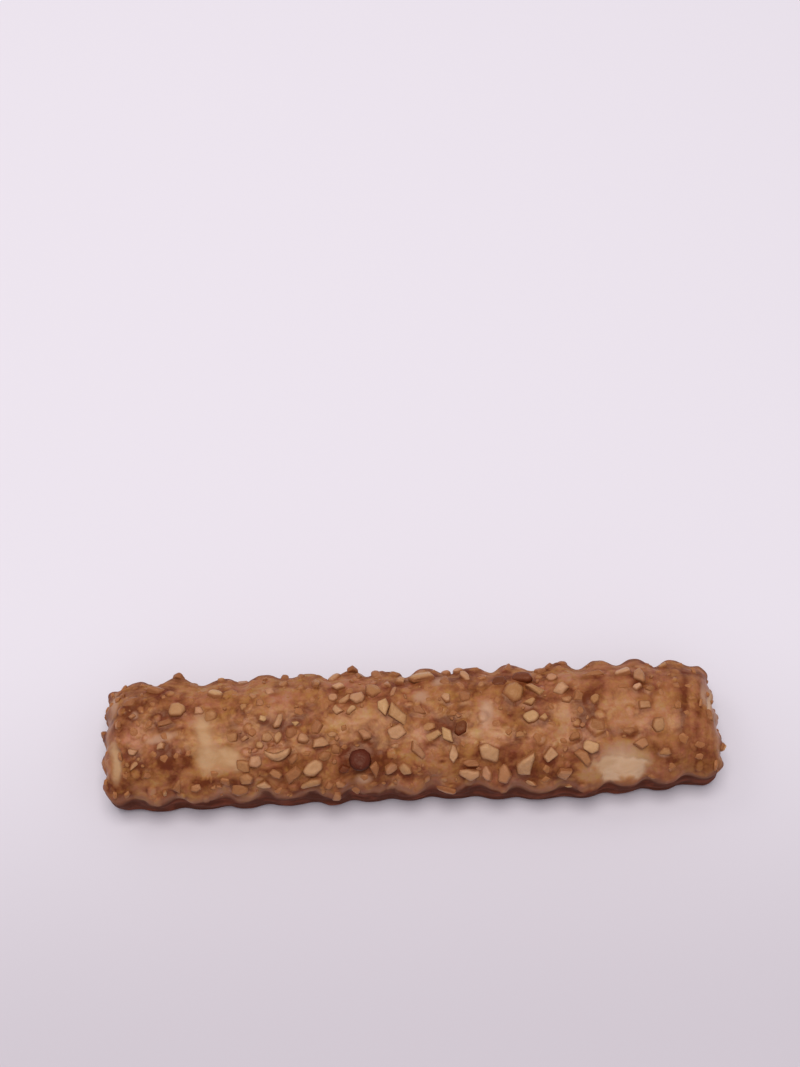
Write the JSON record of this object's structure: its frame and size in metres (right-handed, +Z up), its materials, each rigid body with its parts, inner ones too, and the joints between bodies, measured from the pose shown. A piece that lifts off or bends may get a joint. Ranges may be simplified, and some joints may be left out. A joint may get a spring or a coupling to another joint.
{
  "type": "peanut pastry stick",
  "caption": "Glazed, baked pastry stick with wavy crinkle-cut sides, a domed top and chopped peanuts baked into its crust, lying on its flat underside.",
  "frame": {"origin": "middle of the flat underside's height, at the centre of the bounding box's bottom", "axes": "+X along the stick towards its slanted end, +Y towards the back, +Z up"},
  "size_m": [0.1416, 0.0316, 0.0194],
  "materials": {
    "glazed_crust": "glossy caramel glaze over baked pastry"
  },
  "bodies": {
    "root": {"pastry_stick": "glazed_crust"}
  },
  "joints": []
}
